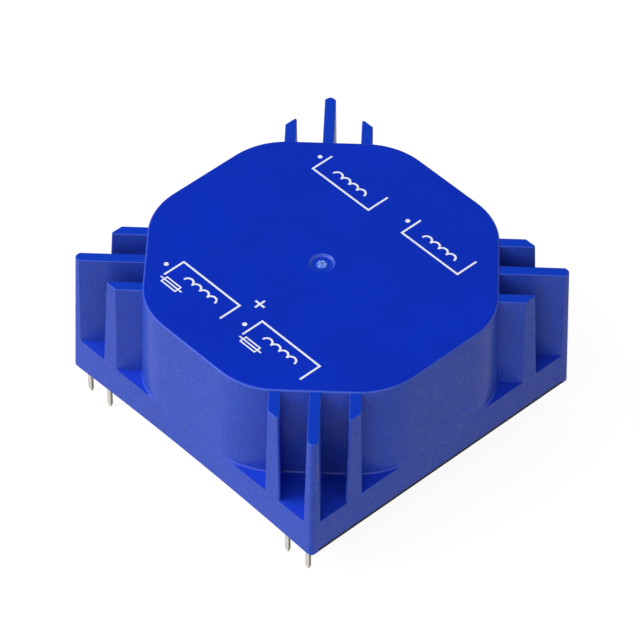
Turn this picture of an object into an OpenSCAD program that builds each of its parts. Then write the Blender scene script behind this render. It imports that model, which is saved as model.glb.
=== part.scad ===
// Encapsulated toroidal mains transformer for a printed circuit board.
// A square moulded housing, open underneath, holds a wound ring core that is
// sealed in with black resin. Eight flat pins stand in two rows below it.
// Origin: centre of the seating plane, where the rim meets the board.
// The secondary pins are on the -Y side and the primary pins on the +Y side.

/* [Housing] */
// Width of the square base at the seating plane
base_w = 60; // [54:0.5:72]
// Height of the top face above the seating plane
body_h = 26; // [21:0.5:32]
// Height of the square flange round the foot of the body
flange_h = 6.9; // [6:0.1:9]
// Thickness of the side walls
wall_t = 1.2; // [1:0.1:2]
// Thickness of the top wall and of the flange's upper wall
roof_t = 1.6; // [1:0.1:2]
// How much further out the corner walls of the body stand than its sides
corner_out = 0.2; // [0:0.05:1.5]
// Radius that joins the corner walls to the sides
shoulder_r = 13; // [6:0.5:17]
// Radius of the upright corners of the flange
flange_corner_r = 0.8; // [0.6:0.1:1.6]
// Radius round the edge of the top face
top_fillet = 0.5; // [0.3:0.1:1.4]
// Draft of the outer walls, in degrees
wall_draft = 1.3; // [0.3:0.1:1.8]

/* [Corner ribs] */
// Thickness of a rib at its top
rib_t = 1.95; // [1.4:0.05:2.4]
// Spacing of the three ribs of a corner
rib_pitch = 6.6; // [5.5:0.1:8.1]
// Draft of each face of a rib, in degrees
rib_draft = 1.1; // [0.2:0.1:2]
// How far the ribs stop below the top face
rib_drop = 0.3; // [0:0.1:0.8]
// Radius along the top edges of a rib
rib_fillet = 0.2; // [0.1:0.05:0.25]
// Radius on the blunt upright edges at the end of a rib
rib_edge_r = 0.3; // [0.3:0.05:0.5]
// Radius on the sharp upright edge at the end of an outer rib
rib_nose_r = 0.3; // [0.3:0.05:0.8]

/* [Gate mark] */
// Diameter of the shallow dimple where the moulding was filled
gate_d = 4.2; // [3:0.1:6]
// Depth of the dimple
gate_depth = 0.3; // [0.1:0.05:0.6]
// Diameter of the broken-off stub in the dimple
gate_stub_d = 1.5; // [0.8:0.1:2]

/* [Rim] */
// Length of the corner feet that stand on the board
foot_l = 1.7; // [1.2:0.1:4]
// How far the rim stops short of the board between the feet, on the X sides
rim_relief = 0.45; // [0.2:0.05:0.8]
// Rise of the shallow arch under the Y sides
rim_arch = 0.8; // [0.2:0.05:1]
// Gap from the resin in the X side reliefs to the face of the wall
resin_inset = 0.15; // [0.05:0.05:0.5]

/* [Pins] */
// Width of a pin, along the row
pin_w = 0.9; // [0.6:0.1:1.2]
// Thickness of a pin, across the row
pin_t = 0.5; // [0.4:0.1:0.8]
// Length of a pin below the seating plane
pin_l = 6; // [3:0.5:8]
// Spacing of the two pins of one winding
pin_pitch = 5; // [3:0.5:7]
// How much nearer the middle the primary pins stand than the secondary ones
primary_inset = 5; // [0:0.5:6]
// Resin between a pin and the wall beside its row
pin_row_gap = 0.2; // [0.15:0.05:1]
// Resin between the last pin of a row and the wall at the row's end
pin_end_gap = 0.85; // [0.4:0.05:2]
// Resin between the upper end of a pin and the flange's upper wall
pin_top_gap = 0.6; // [0.3:0.1:1.5]
// Height of the chamfered tip
pin_tip_l = 0.8; // [0.3:0.1:1.2]

/* [Ring core and windings] */
// Hole of the bare core
core_id = 25; // [22:0.5:28]
// Radius on the edges of the bare core
core_edge_r = 1; // [0.4:0.1:1.5]
// Thickness of the tape round the core
core_tape_t = 0.3; // [0.2:0.05:0.5]
// Build of each primary winding on the outside of the ring
primary_t = 1.1; // [0.6:0.1:1.4]
// Thickness of the insulation between primaries and secondaries
barrier_t = 0.45; // [0.3:0.05:0.6]
// Build of each secondary winding on the outside of the ring
secondary_t = 0.9; // [0.6:0.1:1.2]
// Thickness of the outer wrap
wrap_t = 0.3; // [0.2:0.05:0.4]
// How many times thicker each layer lies in the hole than outside
hole_build = 1.4; // [1:0.1:1.6]
// Resin between the wound ring and the side walls, at the top
side_gap = 1.1; // [0.5:0.1:2]
// Resin between the wound ring and the housing roof
top_gap = 0.5; // [0.3:0.1:1]

/* [Lead-outs] */
// Diameter of the winding wire brought out to a pin
lead_d = 0.6; // [0.4:0.1:0.8]
// Outer diameter of the sleeve on a lead-out
sleeve_d = 1.2; // [1:0.1:1.4]
// Resin under the sleeves
lead_cover = 1.1; // [0.8:0.1:1.5]
// Radius of the bend in a lead-out
lead_bend = 1; // [0.8:0.1:1.4]
// Straight drop of a lead-out below the ring
lead_drop = 0.3; // [0.1:0.1:1]
// How far inside the rim of the core the lead-outs leave the ring
lead_inset = 2; // [1.8:0.1:4]
// Bare wire between the end of a sleeve and its pin
lead_bare = 1.8; // [1.4:0.1:3]
// Diameter of a solder joint
solder_d = 1.3; // [1.1:0.1:1.4]

/* [Hidden] */

$fn = 48;
arc_steps = 12;    // facets in each rounded shoulder
fillet_steps = 6;  // facets across a fillet
rib_steps = 5;     // facets round an upright edge of a rib
overlap = 1;       // length by which a cutting or joining solid runs past
trim = 0.01;       // how far a wall stands proud of the plane that trims it

half = base_w / 2;
rib_top = body_h - rib_drop;
rib_root = half - 5;
cavity_top = body_h - roof_t;
flange_ceiling = flange_h - roof_t;

// Distance from the centre to a side wall at height z
function side(z) = half - z * tan(wall_draft);

// Lead-outs run level under the ring and bend up into it
lead_z = lead_cover + sleeve_d / 2;
ring_bottom = lead_z + lead_bend + lead_drop;
ring_top = cavity_top - top_gap;
ring_mid = (ring_top + ring_bottom) / 2;

// Outer build over the bare core after each layer
over_core = core_tape_t;
over_primary_1 = over_core + primary_t;
over_primary_2 = over_primary_1 + primary_t;
over_barrier = over_primary_2 + barrier_t;
over_secondary_1 = over_barrier + secondary_t;
over_secondary_2 = over_secondary_1 + secondary_t;
over_wrap = over_secondary_2 + wrap_t;

core_r = side(body_h) - wall_t - side_gap - over_wrap;
core_h = ring_top - ring_bottom - 2 * over_wrap;
lead_r = core_r - lead_inset;

// Pins 1 to 4 stand along +Y from left to right, 5 to 8 along -Y from right to left
pin_y = half - wall_t - pin_row_gap - pin_t / 2;
pin_x_outer = half - wall_t - pin_end_gap - pin_w / 2;
pin_top = flange_ceiling - pin_top_gap;
function row_xs(outer) = [-outer, pin_pitch - outer, outer - pin_pitch, outer];
function pin_at(i) =
    i <= 4 ? [row_xs(pin_x_outer - primary_inset)[i - 1], pin_y]
           : [row_xs(pin_x_outer)[8 - i], -pin_y];

// ---------- outlines and lofts ----------

function turned(p, a) = [p.x * cos(a) - p.y * sin(a), p.x * sin(a) + p.y * cos(a)];

// Square outline whose sides lie at distance s, with its corners rounded to radius r
function square_outline(s, r, steps) = [
    for (quarter = [0:3]) for (i = [0:steps])
        let (a = 90 * i / steps)
        turned([s - r + r * cos(a), s - r + r * sin(a)], 90 * quarter)
];

// Eight-sided outline: sides at distance s and corner walls at distance c,
// joined by arcs of radius r that touch both
function body_outline(s, c, r, steps) = [
    for (quarter = [0:3]) for (second = [0, 1]) for (i = [0:steps])
        let (
            near = s - r,
            far = (c - r) * sqrt(2) - near,
            centre = second == 0 ? [near, far] : [far, near],
            a = 45 * (second + i / steps)
        )
        turned(centre + r * [cos(a), sin(a)], 90 * quarter)
];

// Convex outline through the given corners, anticlockwise, with the radius of each
function rounded(corners, radii, steps) = [
    for (i = [0:len(corners) - 1])
        let (
            n = len(corners),
            before = edge_normal(corners[(i + n - 1) % n], corners[i]),
            after = edge_normal(corners[i], corners[(i + 1) % n]),
            turn = acos(before * after),
            centre = corners[i] - radii[i] * (before + after) / (1 + before * after),
            start = atan2(before.y, before.x)
        )
        for (k = [0:steps])
            let (a = start + turn * k / steps)
            centre + radii[i] * [cos(a), sin(a)]
];

// Outward normal of the edge from p to q
function edge_normal(p, q) = [q.y - p.y, p.x - q.x] / norm(q - p);

// Closed solid through a stack of outlines, each given as [height, points]
module loft(stack) {
    n = len(stack[0][1]);
    last = len(stack) - 1;
    polyhedron(
        points = [for (level = stack) for (p = level[1]) [p.x, p.y, level[0]]],
        faces = concat(
            [[for (i = [0:n - 1]) i]],
            [for (k = [0:last - 1]) for (i = [0:n - 1])
                [k * n + i, (k + 1) * n + i, (k + 1) * n + (i + 1) % n]],
            [for (k = [0:last - 1]) for (i = [0:n - 1])
                [k * n + i, (k + 1) * n + (i + 1) % n, k * n + (i + 1) % n]],
            [[for (i = [n - 1:-1:0]) last * n + i]]
        ),
        convexity = 4
    );
}

// Inward shift and height of each step of a fillet of radius r that ends at height top
function fillet_stack(r, top) = [
    for (i = [0:fillet_steps])
        let (a = 90 * i / fillet_steps)
        [r * (1 - cos(a)), top - r + r * sin(a)]
];

// ---------- housing ----------

// Everything inside the one drafted plane that forms each side of the moulding
module wall_envelope() {
    loft([for (z = [0, body_h + overlap]) [z, square_outline(side(z), flange_corner_r, 6)]]);
}

module body_block() {
    foot = flange_h / 2;
    edge = body_h - top_fillet;
    loft(concat(
        [[foot, body_outline(side(foot) + trim, side(foot) + corner_out, shoulder_r, arc_steps)]],
        [for (step = fillet_stack(top_fillet, body_h))
            [step[1], body_outline(side(edge) + trim - step[0], side(edge) + corner_out - step[0],
                                   shoulder_r - step[0], arc_steps)]]
    ));
}

// Plan of a rib that runs out along +X towards the corner of two walls, which lie at
// distance s from the centre: half thickness w, and every radius smaller by inset
function rib_outline(place, w, s, inset) =
    let (
        near = rib_root + inset,
        far = s * sqrt(2),
        in = rib_pitch - w,
        out = rib_pitch + w,
        blunt = rib_edge_r - inset,
        nose = rib_nose_r - inset
    )
    place == 0
        ? rounded([[near, -w], [far - w, -w], [far, 0], [far - w, w], [near, w]],
                  [blunt, blunt, flange_corner_r + trim - inset, blunt, blunt], rib_steps)
    : place > 0
        ? rounded([[near, in], [far - in, in], [far - out, out], [near, out]],
                  [blunt, nose, blunt, blunt], rib_steps)
        : rounded([[near, -out], [far - out, -out], [far - in, -in], [near, -in]],
                  [blunt, blunt, nose, blunt], rib_steps);

// One rib: drafted faces, rounded ends and rounded top edges
module rib(place) {
    foot = flange_h / 2;
    edge = rib_top - rib_fillet;
    half_foot = rib_t / 2 + (edge - foot) * tan(rib_draft);
    loft(concat(
        [[foot, rib_outline(place, half_foot, side(foot) + trim, 0)]],
        [for (step = fillet_stack(rib_fillet, rib_top))
            [step[1], rib_outline(place, rib_t / 2 - step[0], side(edge) + trim - step[0],
                                  step[0])]]
    ));
}

// The three ribs of each corner, parallel to its diagonal
module ribs() {
    for (corner = [0:3]) for (place = [-1:1]) rotate(45 + 90 * corner) rib(place);
}

// Space inside the housing, from below the rim to the roof
module cavity() {
    inner_r = max(flange_corner_r - wall_t, 0.3);
    loft([for (z = [-overlap, flange_ceiling])
        [z, square_outline(side(z) - wall_t, inner_r, 4)]]);
    loft([for (z = [flange_ceiling / 2, cavity_top])
        [z, body_outline(side(z) - wall_t - trim, side(z) + corner_out - wall_t,
                         shoulder_r - wall_t, 6)]]);
}

module gate_mark() {
    bowl_r = (gate_d * gate_d / 4 + gate_depth * gate_depth) / (2 * gate_depth);
    difference() {
        translate([0, 0, body_h - gate_depth + bowl_r]) sphere(r = bowl_r, $fn = 96);
        translate([0, 0, body_h - gate_depth - overlap])
            cylinder(d1 = gate_stub_d, d2 = gate_stub_d * 0.8, h = gate_depth + overlap - 0.04);
    }
}

// Straight reliefs under the X sides, between the feet
module x_reliefs(depth) {
    length = base_w - 2 * foot_l;
    translate([-half - overlap, -length / 2, -overlap])
        cube([base_w + 2 * overlap, length, depth + overlap]);
}

// Shallow arches under the Y sides, between the feet
module y_arches() {
    half_span = half - foot_l;
    arch_r = (half_span * half_span + rim_arch * rim_arch) / (2 * rim_arch);
    translate([0, half + overlap, rim_arch - arch_r])
        rotate([90, 0, 0]) cylinder(r = arch_r, h = base_w + 2 * overlap, $fn = 720);
}

module housing() {
    color("#0d35b8") difference() {
        intersection() {
            wall_envelope();
            union() {
                translate([-half - overlap, -half - overlap, -overlap])
                    cube([base_w + 2 * overlap, base_w + 2 * overlap, flange_h + overlap]);
                body_block();
                ribs();
            }
        }
        cavity();
        gate_mark();
        x_reliefs(rim_relief);
        y_arches();
    }
}

// ---------- pins ----------

// Flat pin with its tip chamfered on all four edges
module pin_blank() {
    tip = -pin_l;
    shoulder = tip + pin_tip_l;
    intersection() {
        translate([0, pin_t, 0]) rotate([90, 0, 0]) linear_extrude(2 * pin_t)
            polygon([
                [-pin_w / 2, pin_top], [-pin_w / 2, shoulder], [-pin_w / 4, tip],
                [pin_w / 4, tip], [pin_w / 2, shoulder], [pin_w / 2, pin_top]
            ]);
        translate([-pin_w, 0, 0]) rotate([90, 0, 90]) linear_extrude(2 * pin_w)
            polygon([
                [-pin_t / 2, pin_top], [-pin_t / 2, shoulder], [-pin_t / 4, tip],
                [pin_t / 4, tip], [pin_t / 2, shoulder], [pin_t / 2, pin_top]
            ]);
    }
}

module pin(i) {
    color("silver") translate(pin_at(i)) pin_blank();
}

// ---------- lead-outs ----------

// Path of a lead-out, down from the ring at height z_from and out to distance r_to
module lead_path(d, z_from, r_to) {
    bend_z = lead_z + lead_bend;
    translate([lead_r, 0, bend_z]) cylinder(d = d, h = z_from - bend_z);
    translate([lead_r + lead_bend, 0, bend_z]) rotate([90, 0, 0]) rotate(180)
        rotate_extrude(angle = 90) translate([lead_bend, 0]) circle(d = d);
    translate([lead_r + lead_bend, 0, lead_z]) rotate([0, 90, 0])
        cylinder(d = d, h = r_to - lead_r - lead_bend);
}

// Turns what is drawn along +X towards pin i
module toward_pin(i) {
    p = pin_at(i);
    rotate(atan2(p.y, p.x)) children();
}

// Wire of pin i, from inside its winding to the face of the pin
module lead_wire(i, z_from) {
    difference() {
        toward_pin(i) lead_path(lead_d, z_from, norm(pin_at(i)));
        translate(pin_at(i)) pin_blank();
    }
}

// Underside of the winding that feeds pin i
function winding_under(i) =
    i <= 2 ? underside(over_primary_1) :
    i <= 4 ? underside(over_primary_2) :
    i <= 6 ? underside(over_secondary_1) : underside(over_secondary_2);
function underside(build) = ring_mid - core_h / 2 - build;

module lead_sleeve(i) {
    reach = norm(pin_at(i)) - lead_bare;
    color("ivory") toward_pin(i) difference() {
        lead_path(sleeve_d, winding_under(i), reach);
        lead_path(lead_d, winding_under(i) + overlap, reach + overlap);
    }
}

// Holes for the sleeves of pins first to last, up to where they meet their windings
module sleeve_holes(first, last) {
    for (i = [first:last]) toward_pin(i)
        lead_path(sleeve_d, winding_under(i), norm(pin_at(i)) - lead_bare);
}

// A solder joint sits on the face of its pin that the wire meets
module solder_blank(i) {
    toward_pin(i) translate([norm(pin_at(i)) - solder_d / 4, 0, lead_z]) sphere(d = solder_d);
}

module solder_joints() {
    color("lightgray") for (i = [1:8]) difference() {
        solder_blank(i);
        translate(pin_at(i)) pin_blank();
        toward_pin(i) lead_path(lead_d, ring_bottom, norm(pin_at(i)));
    }
}

// ---------- ring core and windings ----------

// Solid ring of the core with everything up to the given build over it
module ring(build) {
    r_in = core_id / 2 - hole_build * build;
    r_out = core_r + build;
    half_h = core_h / 2 + build;
    edge_r = core_edge_r + build;
    edge_in = min(core_edge_r + hole_build * build, half_h);
    translate([0, 0, ring_mid]) rotate_extrude($fn = 96) polygon(concat(
        [for (i = [0:4]) let (a = -90 + 22.5 * i)
            [r_out - edge_r + edge_r * cos(a), -half_h + edge_r + edge_r * sin(a)]],
        [for (i = [0:4]) let (a = 22.5 * i)
            [r_out - edge_r + edge_r * cos(a), half_h - edge_r + edge_r * sin(a)]],
        [for (i = [0:4]) let (a = 90 + 22.5 * i)
            [r_in + edge_r + edge_r * cos(a), half_h - edge_r + edge_r * sin(a)]],
        [for (i = [0:4]) let (a = 180 + 22.5 * i)
            [r_in + edge_r + edge_r * cos(a), -half_h + edge_r + edge_r * sin(a)]]
    ));
}

// One layer of the ring, between two builds
module layer(from, to) {
    difference() {
        ring(to);
        ring(from);
    }
}

module toroid_core() {
    color("dimgray") ring(0);
}

module core_insulation() {
    color("khaki") layer(0, over_core);
}

module primary_winding_1() {
    color("peru") {
        layer(over_core, over_primary_1);
        for (i = [1, 2]) lead_wire(i, winding_under(i) + primary_t / 2);
    }
}

module primary_winding_2() {
    color("sienna") {
        difference() {
            layer(over_primary_1, over_primary_2);
            sleeve_holes(1, 2);
        }
        for (i = [3, 4]) lead_wire(i, winding_under(i) + primary_t / 2);
    }
}

module winding_barrier() {
    color("gold") difference() {
        layer(over_primary_2, over_barrier);
        sleeve_holes(1, 4);
    }
}

module secondary_winding_1() {
    color("chocolate") {
        difference() {
            layer(over_barrier, over_secondary_1);
            sleeve_holes(1, 4);
        }
        for (i = [5, 6]) lead_wire(i, winding_under(i) + secondary_t / 2);
    }
}

module secondary_winding_2() {
    color("coral") {
        difference() {
            layer(over_secondary_1, over_secondary_2);
            sleeve_holes(1, 6);
        }
        for (i = [7, 8]) lead_wire(i, winding_under(i) + secondary_t / 2);
    }
}

module outer_wrap() {
    color("lightyellow") difference() {
        layer(over_secondary_2, over_wrap);
        sleeve_holes(1, 8);
    }
}

// ---------- resin ----------

module potting_compound() {
    color("#1c1c1e") difference() {
        union() {
            intersection() {
                cavity();
                translate([-half, -half, 0]) cube([base_w, base_w, body_h]);
            }
            intersection() {
                x_reliefs(rim_relief);
                translate([-half + resin_inset, -half, 0])
                    cube([base_w - 2 * resin_inset, base_w, rim_relief]);
            }
        }
        ring(over_wrap);
        sleeve_holes(1, 8);
        for (i = [1:8]) {
            toward_pin(i) lead_path(lead_d, ring_bottom, norm(pin_at(i)));
            translate(pin_at(i)) pin_blank();
            solder_blank(i);
        }
    }
}

housing();
potting_compound();
toroid_core();
core_insulation();
primary_winding_1();
primary_winding_2();
winding_barrier();
secondary_winding_1();
secondary_winding_2();
outer_wrap();
solder_joints();
for (i = [1:8]) {
    pin(i);
    lead_sleeve(i);
}
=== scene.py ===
# %% [markdown]
# # A potted toroidal transformer for a circuit board
# The real object is a ring core with its windings, sealed with black resin in a blue moulded
# housing that stands on a circuit board. Eight flat tinned pins come out of the resin.
# The solid model is already made. This script loads it as a fixed frame, refines what shows
# on the outside, gives every piece its finish, and lights it in a plain studio.

# %% The fixed frame
import math

import bpy
import numpy as np
from mathutils import Matrix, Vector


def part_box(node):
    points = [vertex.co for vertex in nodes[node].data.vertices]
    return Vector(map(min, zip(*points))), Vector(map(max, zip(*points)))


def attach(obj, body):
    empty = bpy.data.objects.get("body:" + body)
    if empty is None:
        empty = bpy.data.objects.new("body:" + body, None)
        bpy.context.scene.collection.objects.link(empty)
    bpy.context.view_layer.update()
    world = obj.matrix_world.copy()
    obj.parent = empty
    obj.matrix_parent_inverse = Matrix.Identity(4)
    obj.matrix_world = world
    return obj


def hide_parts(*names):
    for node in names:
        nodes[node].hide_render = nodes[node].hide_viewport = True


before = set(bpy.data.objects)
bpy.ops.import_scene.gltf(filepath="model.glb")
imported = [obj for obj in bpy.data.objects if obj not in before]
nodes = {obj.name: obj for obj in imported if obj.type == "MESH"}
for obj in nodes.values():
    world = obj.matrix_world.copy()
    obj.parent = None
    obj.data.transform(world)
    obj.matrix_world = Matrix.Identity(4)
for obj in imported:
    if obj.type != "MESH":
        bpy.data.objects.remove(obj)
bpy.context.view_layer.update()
MM = 0.001

# %% [markdown]
# ## Where things lie
# The housing's box gives the height of the top face and the width of the base, and a pin's
# box gives the lowest point. Everything that is added later takes its place from these.

# %% Main heights
housing_low, housing_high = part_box("housing")
TOP = housing_high.z
HALF = housing_high.x
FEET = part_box("pin_5")[0].z
print(f"top face at {TOP / MM:.2f} mm, half width {HALF / MM:.2f} mm")
print(f"pin tips at {FEET / MM:.2f} mm")

# %% [markdown]
# ## Shader maths written as Python
# A finish is easier to read as an expression than as a web of nodes. A Signal wraps a socket,
# and its operators add Math nodes. A Finish owns one material, and its node() method makes any
# other node: its settings come first, then the values or links of its sockets.

# %% Signals and finishes
class Signal:
    """An output socket of a node, with the usual operators."""

    def __init__(self, finish, socket):
        self.finish = finish
        self.socket = socket

    def math(self, operation, *terms):
        return self.finish.node("Math", {"operation": operation}, dict(enumerate(terms)))

    def __add__(self, other):
        return self.math("ADD", self, other)

    def __radd__(self, other):
        return self.math("ADD", other, self)

    def __sub__(self, other):
        return self.math("SUBTRACT", self, other)

    def __rsub__(self, other):
        return self.math("SUBTRACT", other, self)

    def __mul__(self, other):
        return self.math("MULTIPLY", self, other)

    def __rmul__(self, other):
        return self.math("MULTIPLY", other, self)

    def __truediv__(self, other):
        return self.math("DIVIDE", self, other)

    def __pow__(self, other):
        return self.math("POWER", self, other)

    def __abs__(self):
        return self.math("ABSOLUTE", self)

    def fract(self):
        return self.math("FRACT", self)

    def sin(self):
        return self.math("SINE", self)

    def between(self, low, high):
        """0 below low, 1 above high, and a smooth step from one to the other."""
        return self.finish.node(
            "MapRange", {"interpolation_type": "SMOOTHSTEP"}, {0: self, 1: low, 2: high}
        )


class Finish:
    """A material whose Principled shader is fed by signals."""

    def __init__(self, name):
        self.material = bpy.data.materials.new(name)
        self.material.use_nodes = True
        self.tree = self.material.node_tree
        self.shader = self.tree.nodes["Principled BSDF"]

    def node(self, kind, settings=None, inputs=None, output=0):
        """Adds a node: settings first, then what its sockets hold or are linked to."""
        made = self.tree.nodes.new("ShaderNode" + kind)
        for key, value in (settings or {}).items():
            setattr(made, key, value)
        for key, value in (inputs or {}).items():
            self.feed(made.inputs[key], value)
        return Signal(self, made.outputs[output])

    def feed(self, socket, value):
        if isinstance(value, Signal):
            self.tree.links.new(value.socket, socket)
        elif hasattr(value, "__len__") and len(socket.default_value) == 4 and len(value) == 3:
            socket.default_value = (*value, 1)
        else:
            socket.default_value = value

    def place(self):
        """Object coordinates, in metres."""
        return self.node("TexCoord", output="Object")

    def axes(self, vector):
        split = self.node("SeparateXYZ", None, {0: vector})
        outputs = split.socket.node.outputs
        return [Signal(self, outputs[i]) for i in range(3)]

    def noise(self, scale, detail=2.0, roughness=0.5, vector=None):
        """Noise of about `scale` cells per metre."""
        where = vector if vector is not None else self.place()
        return self.node(
            "TexNoise", None,
            {"Vector": where, "Scale": scale, "Detail": detail, "Roughness": roughness},
        )

    def blend(self, factor, first, second):
        """The first colour where factor is 0 and the second where it is 1."""
        return self.node(
            "Mix", {"data_type": "RGBA"}, {"Factor": factor, 6: first, 7: second}, output=2
        )

    def bump(self, height, distance, strength=1.0):
        """Normals of a relief that is `distance` metres deep."""
        inputs = {"Height": height, "Distance": distance, "Strength": strength}
        return self.node("Bump", None, inputs)

    def set(self, **sockets):
        """Feeds the shader: underscores in a name stand for spaces."""
        for key, value in sockets.items():
            self.feed(self.shader.inputs[key.replace("_", " ")], value)
        return self.material


def coat(piece, material):
    """Gives a piece one material all over."""
    piece.data.materials.clear()
    piece.data.materials.append(material)


print("helpers: Signal, Finish, coat")

# %% [markdown]
# ## The housing's plastic
# The housing is moulded from blue polyamide. The tool is polished where it forms the flat top
# and the tops of the ribs, and spark-eroded elsewhere, so the side walls scatter more light
# and look paler. The way a face points and its height tell the two apart, so one material
# serves both: the mask mixes colour and roughness and holds back the fine grain. The paleness
# of the matt walls is a thin rough coat whose weight is mottled, so it catches the lamps.
# Along the rounded upper edges a paler blue is painted into the colour as a highlight line.

# %% Moulded blue finish
TOP_BLUE = (0.001, 0.024, 0.44)
RIB_TOP_BLUE = (0.003, 0.040, 0.48)
SIDE_BLUE = (0.024, 0.066, 0.465)
LEDGE_BLUE = (0.012, 0.050, 0.58)
SPECK_BLUE = (0.075, 0.125, 0.60)
# paler blue painted along the rounded upper edges as a highlight line
EDGE_HIGHLIGHT_BLUE = (0.035, 0.095, 0.58)
UPPER = (0.8 * TOP, 0.9 * TOP)
RIB_TOPS_END = (TOP - 0.25 * MM, TOP - 0.05 * MM)
HAZE = 0.36


def moulded_blue():
    f = Finish("moulded_blue")
    facing = f.axes(f.node("NewGeometry", output="Normal"))[2]
    height = f.axes(f.place())[2]
    upward = facing.between(0.55, 0.95)
    upper = height.between(*UPPER)
    polished = upward * upper
    ledge = upward * (1 - upper)
    flow = f.noise(90, 3.0)
    grain = f.noise(3600, 3.0, 0.7)
    blotch = f.noise(700, 3.0, 0.6)
    side = f.blend(flow.between(0.3, 0.7), SIDE_BLUE, [1.12 * c for c in SIDE_BLUE])
    side = f.blend(blotch.between(0.35, 0.65) * 0.4, side, [0.84 * c for c in SIDE_BLUE])
    side = f.blend(grain.between(0.50, 0.72) * 0.4, side, SPECK_BLUE)
    colour = f.blend(ledge, side, LEDGE_BLUE)
    top = f.blend(flow.between(0.35, 0.75), TOP_BLUE, [1.1 * c for c in TOP_BLUE])
    rib_top = 1 - height.between(*RIB_TOPS_END)
    top = f.blend(rib_top, top, RIB_TOP_BLUE)
    colour = f.blend(polished, colour, top)
    matt = 1 - polished
    rounded = facing.between(0.15, 0.5) * (1 - facing.between(0.75, 0.97))
    bloom = HAZE + 0.9 * (grain - 0.5) + 0.5 * (blotch - 0.5)
    # painted highlight: on the rounded upper edges the colour turns to a paler blue, standing in
    # for the lamps' light lines on the fillets
    painted_edge_highlight = rounded * upper
    colour = f.blend(painted_edge_highlight * (0.35 + 0.45 * blotch), colour, EDGE_HIGHLIGHT_BLUE)
    return f.set(
        Base_Color=colour,
        Roughness=0.36 + 0.24 * matt + 0.05 * grain,
        Specular_IOR_Level=0.05,
        Coat_Weight=bloom * matt * (1 - 0.6 * ledge) + 0.3 * rounded,
        Coat_Roughness=0.3,
        Normal=f.bump(grain * matt, 0.00004, 0.6),
    )


print("finish:", moulded_blue().name)

# %% [markdown]
# ## The housing
# The solid's shape is right, but it comes as loose flat triangles. A copy is merged, so that
# its fillets can be shaded as the curves they are. Edges that turn by more than a set angle
# stay sharp, and weighted normals keep the large faces flat up to their edges.

# %% Smooth copy of a node
SHARP_TURN = math.radians(32)
WELD_REACH = 2e-6


def link(name, mesh):
    """Puts a mesh into the scene as an object at the origin."""
    piece = bpy.data.objects.new(name, mesh)
    bpy.context.scene.collection.objects.link(piece)
    return piece


def finished_mesh(piece):
    """The mesh that a piece's modifiers give, with the modifiers dropped."""
    dg = bpy.context.evaluated_depsgraph_get()
    mesh = bpy.data.meshes.new_from_object(piece.evaluated_get(dg))
    piece.modifiers.clear()
    piece.data = mesh
    return mesh


def moved(mesh, change):
    """Replaces the vertices by change(vertices), an array of (x, y, z) rows."""
    flat = np.empty(3 * len(mesh.vertices), np.float32)
    mesh.vertices.foreach_get("co", flat)
    mesh.vertices.foreach_set("co", change(flat.reshape(-1, 3)).astype(np.float32).ravel())
    mesh.update()


def smooth_copy(node, name, material, change=None, cutter=None):
    """A merged copy of a CAD node with smooth fillets, which stands for that node."""
    piece = link(name, nodes[node].data.copy())
    weld = piece.modifiers.new("weld", "WELD")
    weld.merge_threshold = WELD_REACH
    mesh = finished_mesh(piece)
    if "custom_normal" in mesh.attributes:
        mesh.attributes.remove(mesh.attributes["custom_normal"])
    if change:
        moved(mesh, change)
    if cutter:
        cut = piece.modifiers.new("cut", "BOOLEAN")
        cut.operation = "DIFFERENCE"
        cut.solver = "EXACT"
        cut.object = cutter
        mesh = finished_mesh(piece)
        bpy.data.objects.remove(cutter)
    mesh.name = name
    mesh.shade_smooth()
    mesh.set_sharp_from_angle(angle=SHARP_TURN)
    weighted = piece.modifiers.new("flat faces stay flat", "WEIGHTED_NORMAL")
    weighted.keep_sharp = True
    coat(piece, material)
    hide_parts(node)
    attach(piece, "root")
    print(name, len(nodes[node].data.vertices), "->", len(mesh.vertices), "vertices")
    return piece


print("edges sharper than", round(math.degrees(SHARP_TURN)), "degrees stay sharp")

# %% [markdown]
# ## Turned and swept surfaces
# The small round details come from one idea: a profile carried round a closed path. Both are
# arrays, so the grid of points is a single numpy expression, and the faces are its cells.

# %% Grid of a closed sweep
def ring_faces(rings, points):
    """Quads of a tube of `rings` closed rings of `points` points, joined end to end."""
    i, j = np.meshgrid(np.arange(rings), np.arange(points), indexing="ij")
    next_i, next_j = (i + 1) % rings, (j + 1) % points
    cells = [i * points + j, next_i * points + j, next_i * points + next_j, i * points + next_j]
    return np.stack(cells, 2).reshape(-1, 4)


def turned_solid(profile, steps):
    """Solid of revolution round Z.

    The profile is a list of (r, z) in mm that starts and ends on the axis. Each inner point
    becomes a ring (r cos a, r sin a, z), and the two ends become the poles.
    """
    p = np.asarray(profile, float) * MM
    a = np.linspace(0, 2 * np.pi, steps, endpoint=False)
    r, z = p[1:-1, 0, None], p[1:-1, 1, None]
    rings = np.stack([r * np.cos(a), r * np.sin(a), z + 0 * a], 2).reshape(-1, 3)
    vertices = np.vstack([rings, [0, 0, p[0, 1]], [0, 0, p[-1, 1]]])
    j = np.arange(steps)
    k = (j + 1) % steps
    start = np.arange(len(p) - 3)[:, None] * steps
    sides = np.stack([start + j, start + k, start + steps + k, start + steps + j], 2)
    last = (len(p) - 3) * steps
    low = np.stack([np.full(steps, len(rings)), k, j], 1)
    high = np.stack([np.full(steps, len(rings) + 1), last + j, last + k], 1)
    return vertices, sides.reshape(-1, 4).tolist() + low.tolist() + high.tolist()


def mesh_of(name, vertices, faces):
    mesh = bpy.data.meshes.new(name)
    mesh.from_pydata(np.asarray(vertices).tolist(), [], list(faces))
    mesh.validate()
    return mesh


def outside_piece(name, mesh, material):
    """A new piece of the housing, which rides with the part."""
    piece = link(name, mesh)
    coat(piece, material)
    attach(piece, "root")
    print(name, len(mesh.vertices), "vertices")
    return piece


print("a ring of 4 by 3 points has", len(ring_faces(4, 3)), "faces")

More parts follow.
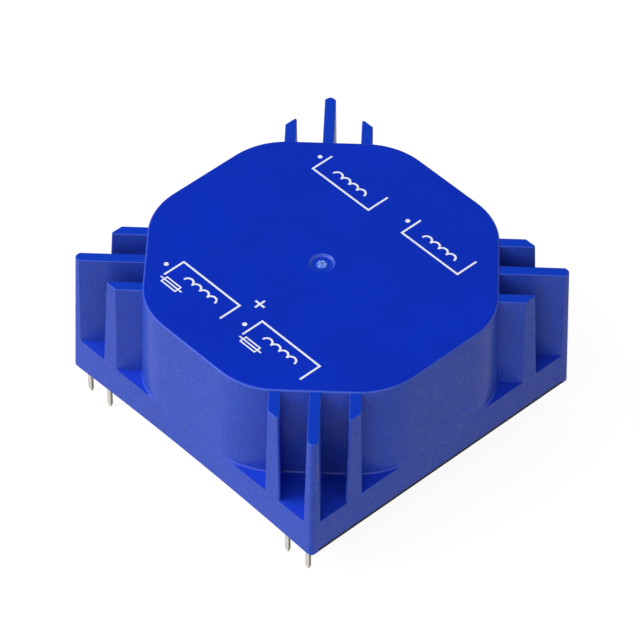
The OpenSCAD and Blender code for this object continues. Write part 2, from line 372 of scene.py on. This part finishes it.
# %% [markdown]
# ## The housing shell
# Two small things are refined on the copy. The gate mark in the middle of the top is a
# recess with a 45 degree wall, which a turned cutter sinks into the shell. The relief under
# the two X sides is a little higher than the solid has it, so the resin shows as a dark line.

# %% Housing shell
blue = bpy.data.materials["moulded_blue"]
GATE_R = 2.2
GATE_DEPTH = 0.4
TOP_MM = TOP / MM
RELIEF = 0.45 * MM
SHOWN_RELIEF = 0.65 * MM
SAME_HEIGHT = 0.005 * MM


def raise_relief(v):
    """Points at the height of the relief go up to the height at which it shows."""
    at_relief = np.abs(v[:, 2] - RELIEF) < SAME_HEIGHT
    return np.c_[v[:, :2], np.where(at_relief, SHOWN_RELIEF, v[:, 2])]


gate_profile = [
    (0, TOP_MM - GATE_DEPTH), (GATE_R - GATE_DEPTH, TOP_MM - GATE_DEPTH),
    (GATE_R + 1, TOP_MM + 1), (0, TOP_MM + 1),
]
gate_cutter = link("gate_cutter", mesh_of("gate_cutter", *turned_solid(gate_profile, 72)))
housing_shell = smooth_copy("housing", "housing_shell", blue, raise_relief, gate_cutter)

# %% [markdown]
# ## The torn gate
# Where the runner was snapped off the moulding, a small rough nub stands in the recess. It is
# a disc whose top is crumpled by a few waves, in the paler colour of stretched plastic.

# %% Torn nub finish
def torn_plastic():
    f = Finish("torn_plastic")
    shreds = f.noise(2600, 3.0, 0.7)
    return f.set(
        Base_Color=f.blend(shreds.between(0.38, 0.62), (0.02, 0.07, 0.50), (0.26, 0.44, 0.92)),
        Roughness=0.55 + 0.2 * shreds,
        Specular_IOR_Level=0.3,
        Normal=f.bump(shreds, 0.00006, 0.8),
    )


torn = torn_plastic()
print("finish:", torn.name)

# %% Torn nub
NUB_R = 0.93
NUB_BELOW_TOP = 0.14
NUB_SINK = 0.05


def nub_mesh(radius, foot, crown, rings=14, steps=56):
    """Disc with a crumpled top, closed by a foot.

    With u from 0 at the middle to 1 at the edge and a round it, the point lies at distance
    radius * u * (1 + 0.05 sin 3a + 0.03 sin 7a) and height crown + waves * (1 - u^8) down to
    the foot: waves = 0.05 sin(5 a + 4 u) sin(6 u) + 0.03 cos(3 a - 9 u), in mm.
    """
    a = np.linspace(0, 2 * np.pi, steps, endpoint=False)[None, :]
    u = np.linspace(1 / rings, 1, rings)[:, None]
    r = radius * u * (1 + 0.05 * np.sin(3 * a) + 0.03 * np.sin(7 * a))
    waves = 0.05 * np.sin(5 * a + 4 * u) * np.sin(6 * u) + 0.03 * np.cos(3 * a - 9 * u)
    z = foot + (crown - foot + waves) * (1 - u ** 8)
    grid = np.stack([r * np.cos(a), r * np.sin(a), z], 2).reshape(-1, 3)
    below = grid[-steps:] - [0, 0, NUB_SINK]
    vertices = np.vstack([grid, below, [0, 0, crown], [0, 0, foot - NUB_SINK]]) * MM
    j = np.arange(steps)
    k = (j + 1) % steps
    start = np.arange(rings)[:, None] * steps
    sides = np.stack([start + j, start + steps + j, start + steps + k, start + k], 2)
    middle, base = len(vertices) - 2, len(vertices) - 1
    cap = np.stack([np.full(steps, middle), j, k], 1)
    bottom = np.stack([np.full(steps, base), rings * steps + k, rings * steps + j], 1)
    faces = sides.reshape(-1, 4).tolist() + cap.tolist() + bottom.tolist()
    mesh = mesh_of("gate_nub", vertices, faces)
    mesh.shade_smooth()
    return mesh


nub = nub_mesh(NUB_R, TOP_MM - GATE_DEPTH, TOP_MM - NUB_BELOW_TOP)
gate_nub = outside_piece("gate_nub", nub, torn)

# %% [markdown]
# ## The fillet on the ledges
# A moulding has no sharp inner corners. Where the body rises from the ledges of the flange,
# a small concave fillet runs round it. Its plan is the body's own outline: straight sides and
# corner walls joined by wide arcs.

# %% Plan of the body
LEDGE_Z = 6.9
DRAFT = math.radians(1.3)
CORNER_OUT = 0.2
SHOULDER_R = 13.0
FILLET_R = 0.4
FILLET_BACK = 0.1
FILLET_SINK = 0.05
HAIR = 0.004


def side_at(z):
    """Distance in mm from the axis to the drafted plane of a side, at height z in mm."""
    return HALF / MM - z * math.tan(DRAFT)


def body_plan(grow, z, steps=12):
    """Points of the body's outline at height z, grown outward by grow, in mm.

    Each eighth of the outline is an arc of radius R = SHOULDER_R + grow that touches a side
    at distance s and a corner wall at distance s + CORNER_OUT from the middle; its centre is
    (s - R, (c - R) sqrt 2 - (s - R)), or the same with x and y exchanged.
    """
    s = side_at(z) + grow
    c = s + CORNER_OUT
    r = SHOULDER_R + grow
    near = s - r
    far = (c - r) * math.sqrt(2) - near
    first = np.linspace(0, math.pi / 4, steps + 1)
    angles = np.concatenate([first, first + math.pi / 4])
    x = np.concatenate([np.full(steps + 1, near), np.full(steps + 1, far)]) + r * np.cos(angles)
    y = np.concatenate([np.full(steps + 1, far), np.full(steps + 1, near)]) + r * np.sin(angles)
    quarter = x + 1j * y
    plan = np.concatenate([quarter * 1j ** k for k in range(4)])
    return np.c_[plan.real, plan.imag]


print("the body's outline has", len(body_plan(0, LEDGE_Z)), "points")

# %% Ledge fillet
def ledge_fillet_mesh():
    """Concave quarter round swept along the body's outline, as a closed ring.

    At angle t from 0 to 90 degrees the profile is grown by r (1 - sin t) and stands at height
    r (1 - cos t) over the ledge. Two more points sink its back into the body. No point stands
    outside the drafted plane of a side, half width - z tan(draft), less a hair.
    """
    t = np.linspace(0, math.pi / 2, 7)
    grow = np.r_[FILLET_R, FILLET_R * (1 - np.sin(t)), -FILLET_BACK, -FILLET_BACK]
    rise = np.r_[-FILLET_SINK, FILLET_R * (1 - np.cos(t)), FILLET_R, -FILLET_SINK]
    rings = []
    for out, z in zip(grow, LEDGE_Z + rise):
        limit = side_at(z) - HAIR
        plan = np.clip(body_plan(out, z), -limit, limit)
        rings.append(np.c_[plan, np.full(len(plan), z)])
    grid = np.stack(rings, 1)
    faces = ring_faces(*grid.shape[:2])
    mesh = mesh_of("ledge_fillet", grid.reshape(-1, 3) * MM, faces.tolist())
    mesh.shade_smooth()
    mesh.set_sharp_from_angle(angle=SHARP_TURN)
    return mesh


ledge_fillet = outside_piece("ledge_fillet", ledge_fillet_mesh(), blue)

# %% [markdown]
# ## The resin
# The housing is filled with black epoxy, which shows on the underside and as a thin dark line
# under two sides of the rim. Cast resin has a slow waviness where it shrank. Its underside is
# the glossy one; in the reliefs, where it meets the rim, it stays dull.

# %% Resin finish
def cast_resin():
    f = Finish("cast_resin")
    slow = f.noise(110, 2.0)
    ripple = f.noise(420, 3.0, 0.6)
    dust = f.noise(9000, 1.0).between(0.55, 0.75)
    below = 1 - f.axes(f.node("NewGeometry", output="Normal"))[2].between(-0.9, -0.4)
    return f.set(
        Base_Color=f.blend(dust * 0.5, (0.006, 0.006, 0.007), (0.016, 0.016, 0.018)),
        Roughness=0.4 + 0.2 * ripple,
        Specular_IOR_Level=0.1,
        Coat_Weight=0.6 * below,
        Coat_Roughness=0.18,
        Normal=f.bump(slow + 0.15 * ripple, 0.0015, 0.5),
    )


resin = cast_resin()
print("finish:", resin.name)

# %% Resin
RESIN_EDGE = HALF - 0.15 * MM
SHOWN_EDGE = HALF - 0.04 * MM
SAME_EDGE = 0.01 * MM
RELIEF_END = 1.01 * RELIEF


def fill_relief(v):
    """The resin in the reliefs goes as high as they show, and nearly out to their face."""
    at_edge = (np.abs(np.abs(v[:, 0]) - RESIN_EDGE) < SAME_EDGE) & (v[:, 2] < RELIEF_END)
    x = np.where(at_edge, np.sign(v[:, 0]) * SHOWN_EDGE, v[:, 0])
    return raise_relief(np.c_[x, v[:, 1:]])


resin_fill = smooth_copy("potting_compound", "resin_fill", resin, fill_relief)

# %% [markdown]
# ## Tinned pins
# The pins are stamped from brass strip and tinned. Hot tin leaves faint streaks along a pin
# and a slightly uneven gloss. The narrow sheared sides are darker than the flat ones.

# %% Pin and solder finishes
def tinned(name, colour, edge, roughness):
    f = Finish(name)
    across = f.node(
        "VectorMath", {"operation": "MULTIPLY"}, {0: f.place(), 1: (1.0, 1.0, 0.15)}
    )
    streaks = f.noise(4000, 2.0, 0.5, across)
    patches = f.noise(900, 2.0)
    sheared = abs(f.axes(f.node("NewGeometry", output="Normal"))[0]).between(0.5, 0.9)
    flat = f.blend(patches, colour, [0.82 * c for c in colour])
    return f.set(
        Base_Color=f.blend(sheared, flat, edge),
        Metallic=1.0,
        Roughness=roughness + 0.15 * streaks,
        Normal=f.bump(streaks, 0.00002, 0.4),
    )


tin = tinned("tinned_brass", (0.66, 0.64, 0.59), (0.204, 0.17, 0.1224), 0.28)
solder = tinned("dull_solder", (0.62, 0.62, 0.62), (0.544, 0.544, 0.544), 0.45)
for index in range(1, 9):
    coat(nodes[f"pin_{index}"], tin)
coat(nodes["solder_joints"], solder)
print("finishes:", tin.name, solder.name)

# %% [markdown]
# ## Inside the resin
# The core, its windings and their lead-outs are sealed in, but each still gets its finish.
# Patterns follow the ring: the angle round it sets the turns of wire and the laps of tape,
# and the radius sets the layers of the wound steel strip.

# %% Ring patterns
def ring_angle(f):
    """Turns round the ring, from 0 to 1."""
    x, y, _ = f.axes(f.place())
    return f.node("Math", {"operation": "ARCTAN2"}, {0: y, 1: x}) / (2 * math.pi) + 0.5


def ring_radius(f):
    """Distance from the ring's axis, in metres."""
    x, y, _ = f.axes(f.place())
    return (x * x + y * y) ** 0.5


STRIP = 0.0003


def wound_steel():
    f = Finish("wound_steel_strip")
    layer = (ring_radius(f) / STRIP).fract()
    seam = abs(layer - 0.5).between(0.35, 0.5)
    return f.set(
        Base_Color=f.blend(seam, (0.36, 0.37, 0.39), (0.12, 0.12, 0.13)),
        Metallic=1.0,
        Roughness=0.38 + 0.2 * f.noise(2000),
        Normal=f.bump(1 - seam, 0.00003),
    )


def enamelled_wire(name, colour, turns):
    f = Finish(name)
    turn = (ring_angle(f) * turns).fract()
    # painted shade: the colour darkens to 0.45 of the wire's own colour in the grooves between
    # turns and is full only at each turn's crown
    crown = 1 - (2 * turn - 1) ** 2
    return f.set(
        Base_Color=f.blend(crown, [0.45 * c for c in colour], colour),
        Metallic=0.75,
        Roughness=0.3 + 0.1 * f.noise(1500),
        Coat_Weight=0.4,
        Normal=f.bump(crown, 0.0002),
    )


def lapped_tape(name, colour, laps, roughness):
    f = Finish(name)
    lap = (ring_angle(f) * laps).fract()
    edge = lap.between(0.0, 0.06)
    return f.set(
        Base_Color=f.blend(lap, colour, [0.86 * c for c in colour]),
        Roughness=roughness + 0.15 * f.noise(600),
        Normal=f.bump(edge * (1 - 0.5 * lap), 0.0001),
    )


THREADS = 9000


def woven_sleeve():
    f = Finish("woven_sleeve")
    x, y, z = f.axes(f.place())
    weave = ((x + y + z) * THREADS).sin() * ((x + y - z) * THREADS).sin()
    return f.set(
        Base_Color=f.blend(weave.between(-0.6, 0.6), (0.70, 0.68, 0.60), (0.88, 0.86, 0.79)),
        Roughness=0.75,
        Normal=f.bump(weave, 0.00005),
    )


print("patterns for", round(1 / STRIP), "strip layers a metre and", THREADS, "threads")

# %% Finishes of the sealed nodes
copper = (0.60, 0.22, 0.07)
sealed = {
    "toroid_core": wound_steel(),
    "core_insulation": lapped_tape("core_tape", (0.78, 0.62, 0.10), 36, 0.35),
    "primary_winding_1": enamelled_wire("primary_wire_1", copper, 300),
    "primary_winding_2": enamelled_wire("primary_wire_2", (0.55, 0.17, 0.05), 300),
    "winding_barrier": lapped_tape("barrier_tape", (0.82, 0.62, 0.06), 30, 0.3),
    "secondary_winding_1": enamelled_wire("secondary_wire_1", (0.64, 0.25, 0.08), 150),
    "secondary_winding_2": enamelled_wire("secondary_wire_2", (0.58, 0.20, 0.07), 150),
    "outer_wrap": lapped_tape("wrap_tape", (0.80, 0.78, 0.66), 28, 0.3),
}
for node, material in sealed.items():
    coat(nodes[node], material)
sleeve_finish = woven_sleeve()
for index in range(1, 9):
    coat(nodes[f"lead_sleeve_{index}"], sleeve_finish)
print("sealed nodes finished:", len(sealed) + 8)

# %% [markdown]
# ## The printed marks
# The top carries white pad-printed marks. Each is a ribbon of ink a few hundredths of a
# millimetre thick: a small section carried along a path just above the top face.

# %% Ink as a ribbon
INK_HEIGHT = 0.02 * MM
INK_SINK = 0.01 * MM


def ribbon(path, width, closed=False, lift=0.0):
    """Slab of ink along a path of (x, y) points in mm.

    At each point the two edges lie at path +/- (width / 2) * m, where m is the mitre: the sum
    of the normals of the two legs, divided by 1 + their dot product. The lower and upper
    copies of the edges make a closed slab with vertices and quads as arrays. Where ribbons
    cross, one of them has a lift, so that their upper faces don't lie in one plane.
    """
    p = np.asarray(path, float)
    ahead = np.roll(p, -1, 0) - p
    ahead /= np.linalg.norm(ahead, axis=1)[:, None] + 1e-12
    behind = np.roll(ahead, 1, 0)
    if not closed:
        behind[0] = ahead[0]
        ahead[-1] = behind[-1]
    normal_a = np.c_[-ahead[:, 1], ahead[:, 0]]
    normal_b = np.c_[-behind[:, 1], behind[:, 0]]
    mitre = (normal_a + normal_b) / (1 + (normal_a * normal_b).sum(1))[:, None]
    left = (p + 0.5 * width * mitre) * MM
    right = (p - 0.5 * width * mitre) * MM
    low = np.full(len(p), TOP - INK_SINK)
    high = np.full(len(p), TOP + INK_HEIGHT + lift * MM)
    rings = np.stack([
        np.c_[left, low], np.c_[right, low], np.c_[right, high], np.c_[left, high]
    ], 1)
    count = len(p)
    steps = np.arange(count if closed else count - 1)
    corner = np.arange(4)
    here, there = steps[:, None] * 4, ((steps + 1) % count)[:, None] * 4
    turn = (corner + 1) % 4
    quads = np.stack([here + corner, here + turn, there + turn, there + corner], 2)
    quads = quads.reshape(-1, 4)[:, ::-1]
    if not closed:
        quads = np.vstack([quads, corner, 4 * count - 1 - corner])
    return rings.reshape(-1, 3), quads


def disc(centre, radius, steps=24):
    """Round dot of ink: a fan of `steps` sectors on a low wall, as one closed solid."""
    a = np.linspace(0, 2 * np.pi, steps, endpoint=False)
    edge = (np.asarray(centre) + radius * np.c_[np.cos(a), np.sin(a)]) * MM
    middle = np.asarray(centre, float) * MM
    vertices = np.vstack([
        np.c_[edge, np.full(steps, TOP - INK_SINK)],
        np.c_[edge, np.full(steps, TOP + INK_HEIGHT)],
        [[*middle, TOP - INK_SINK], [*middle, TOP + INK_HEIGHT]],
    ])
    i = np.arange(steps)
    j = (i + 1) % steps
    wall = np.stack([i, j, steps + j, steps + i], 1)
    top = np.stack([np.full(steps, 2 * steps + 1), steps + i, steps + j], 1)
    base = np.stack([np.full(steps, 2 * steps), j, i], 1)
    return vertices, wall, top, base


def join_solids(parts):
    """One list of vertices and faces from several (vertices, faces, ...) tuples."""
    vertices = []
    faces = []
    start = 0
    for part in parts:
        vertices.append(part[0])
        for block in part[1:]:
            faces.extend((np.asarray(block) + start).tolist())
        start += len(part[0])
    return np.vstack(vertices), faces


print("ink stands", round(INK_HEIGHT / MM, 3), "mm above the top")

# %% Ink finish
def white_ink():
    f = Finish("white_ink")
    cover = f.noise(2600, 3.0, 0.65)
    thin = cover.between(0.30, 0.42)
    return f.set(
        Base_Color=f.blend(thin, (0.45, 0.52, 0.80), (0.80, 0.83, 0.92)),
        Roughness=0.5 + 0.15 * cover,
        Specular_IOR_Level=0.3,
        Normal=f.bump(cover, 0.00001, 0.5),
    )


ink = white_ink()
print("finish:", ink.name)

# %% [markdown]
# A winding is drawn as a bracket that ends above its two pins, with a dot at the pin where
# the winding starts. A fuse is drawn as a small box with a line through it. A row of half
# loops, the plain sign for a coil, stands inside each bracket. There is no lettering.

# %% Printed marks
LINE = 0.36
THIN_LINE = 0.26
INK_LIFT = 0.004
LOOPS = 4
LOOP_R = 0.95
DOT_R = 0.42


def bracket(x, y, width, leg):
    """Three sides of a box; the legs point up for a positive leg and down for a negative."""
    return ribbon([(x, y + leg), (x, y), (x + width, y), (x + width, y + leg)], LINE)


def coil(x, y):
    """Half loops side by side, each a half circle on the line y, and each its own ribbon."""
    a = np.linspace(math.pi, 0, 13)
    return [
        ribbon(
            np.c_[x + LOOP_R * (2 * k + 1 + np.cos(a)), y + LOOP_R * np.sin(a)],
            LINE, lift=INK_LIFT * (k % 2),
        )
        for k in range(LOOPS)
    ]


def fuse(x, y, length=3.4, height=1.3, lead=0.9):
    """A box with its lower left corner at (x, y), and a wire through its middle."""
    right, upper, middle = x + length, y + height, y + height / 2
    box = ribbon([(x, y), (right, y), (right, upper), (x, upper)], THIN_LINE, closed=True)
    wire = ribbon([(x - lead, middle), (right + lead, middle)], THIN_LINE, lift=INK_LIFT)
    return [box, wire]


marks = [
    bracket(-17.8, 14.4, 13.8, 4.5),
    bracket(3.8, 14.8, 13.4, 4.4),
    bracket(-15.7, -16.9, 13.9, -4.4),
    bracket(3.4, -16.6, 13.9, -4.4),
    *coil(-14.6, 16.2),
    *coil(6.9, 16.6),
    *coil(-12.6, -19.6),
    *coil(6.5, -19.3),
    ribbon([(-0.9, -14.2), (1.3, -14.2)], LINE),
    ribbon([(0.2, -15.3), (0.2, -13.1)], LINE, lift=INK_LIFT),
    *fuse(-14.9, -22.6),
    *fuse(4.3, -22.3),
]
dots = [
    disc(centre, DOT_R)
    for centre in ((-19.1, 17.3), (2.4, 17.5), (-17.3, -19.4), (1.95, -19.2))
]
vertices, faces = join_solids(marks + dots)
printed_marks = outside_piece("printed_marks", mesh_of("printed_marks", vertices, faces), ink)

# %% [markdown]
# ## Floor, light and camera
# The part stands on its pins on a plain floor. The floor shows as white but keeps the shadow:
# it adds a plain glow for camera and glossy rays only, so its glow never lights the part. One
# large soft lamp from the front left does most of the work. A smaller one in front and a weak
# one on the right open the shaded walls.

# %% Floor
def floor_finish():
    f = Finish("studio_floor")
    path = f.node("LightPath")
    seen = path.socket.node.outputs
    direct = f.node("Math", {"operation": "MAXIMUM"}, {
        0: Signal(f, seen["Is Camera Ray"]), 1: Signal(f, seen["Is Glossy Ray"])
    })
    paper = f.noise(400, 2.0)
    card = f.blend(paper, (0.50, 0.50, 0.50), (0.52, 0.52, 0.52))
    return f.set(
        Base_Color=f.blend(direct, card, (0.18, 0.18, 0.18)),
        Roughness=0.9,
        Specular_IOR_Level=0.0,
        Emission_Color=f.blend(direct, (0.0, 0.0, 0.0), (0.90, 0.90, 0.90)),
        Emission_Strength=1.0,
    )


FLOOR_HALF = 6.0
corners = [(x * FLOOR_HALF, y * FLOOR_HALF, FEET) for x, y in ((-1, -1), (1, -1), (1, 1), (-1, 1))]
floor = link("studio_floor", mesh_of("studio_floor", corners, [(0, 1, 2, 3)]))
coat(floor, floor_finish())
print("floor at", round(FEET / MM, 2), "mm")

# %% World
WORLD_LEVEL = 0.35
world = bpy.data.worlds.new("studio")
bpy.context.scene.world = world
world.use_nodes = True
tree = world.node_tree
background = tree.nodes["Background"]
background.inputs["Color"].default_value = (1, 1, 1, 1)
paths = tree.nodes.new("ShaderNodeLightPath")
direct = paths.outputs["Is Camera Ray"]
for kind in ("Is Glossy Ray", "Is Transmission Ray"):
    either = tree.nodes.new("ShaderNodeMath")
    either.operation = "MAXIMUM"
    tree.links.new(direct, either.inputs[0])
    tree.links.new(paths.outputs[kind], either.inputs[1])
    direct = either.outputs[0]
level = tree.nodes.new("ShaderNodeMapRange")
level.inputs["To Min"].default_value = WORLD_LEVEL
level.inputs["To Max"].default_value = 1.0
tree.links.new(direct, level.inputs["Value"])
tree.links.new(level.outputs[0], background.inputs["Strength"])
print("world level", WORLD_LEVEL, "for the light, 1 for what is seen and mirrored")

# %% Lamps
def lamp(name, direction, distance, size, irradiance):
    """Square area lamp that points at the part's middle from `direction`.

    A small square lamp of power P at distance d gives P / (pi * d^2) on a face turned to
    it, so the wanted level, as a share of a white world, sets P = level * pi^2 * d^2.
    """
    data = bpy.data.lights.new(name, "AREA")
    data.shape = "SQUARE"
    data.size = size
    data.energy = irradiance * math.pi ** 2 * distance ** 2
    light = bpy.data.objects.new(name, data)
    bpy.context.scene.collection.objects.link(light)
    unit = np.asarray(direction, float) / np.linalg.norm(direction)
    light.location = unit * distance
    light.rotation_mode = "QUATERNION"
    light.rotation_quaternion = light.location.to_track_quat("Z", "Y")
    return light


lamp("key_lamp", (-0.6, -0.7, 0.9), 0.9, 0.6, 0.83)
lamp("front_lamp", (0.35, -0.8, 0.5), 0.5, 0.3, 0.23)
lamp("fill_lamp", (0.9, -0.1, 0.6), 0.9, 0.5, 0.09)
print("lamps:", sorted(light.name for light in bpy.data.lights))

# %% [markdown]
# The camera stands high in front of one corner, far off, with a long lens, so that upright
# edges stay nearly parallel.

# %% Camera
AZIMUTH = math.radians(46.599)
ELEVATION = math.radians(45.474)
ROLL = math.radians(0.705)
CAMERA_PLACE = (0.368492, -0.348792, 0.528225)
LENS = 240.574
SENSOR = 36.0
camera_data = bpy.data.cameras.new("camera")
camera_data.lens = LENS
camera_data.sensor_width = SENSOR
camera_data.clip_start = 0.01
camera_data.clip_end = 20.0
camera = bpy.data.objects.new("camera", camera_data)
bpy.context.scene.collection.objects.link(camera)
backward = np.array([
    math.sin(AZIMUTH) * math.cos(ELEVATION),
    -math.cos(AZIMUTH) * math.cos(ELEVATION),
    math.sin(ELEVATION),
])
level_right = np.cross([0, 0, 1], backward)
level_right /= np.linalg.norm(level_right)
level_up = np.cross(backward, level_right)
right = math.cos(ROLL) * level_right + math.sin(ROLL) * level_up
up = np.cross(backward, right)
matrix = np.eye(4)
matrix[:3, 0] = right
matrix[:3, 1] = up
matrix[:3, 2] = backward
matrix[:3, 3] = CAMERA_PLACE
camera.matrix_world = Matrix(matrix.tolist())
bpy.context.scene.camera = camera
bpy.context.scene.view_settings.view_transform = "Standard"
print("camera", round(float(np.linalg.norm(CAMERA_PLACE)), 3), "m from the middle of the base")
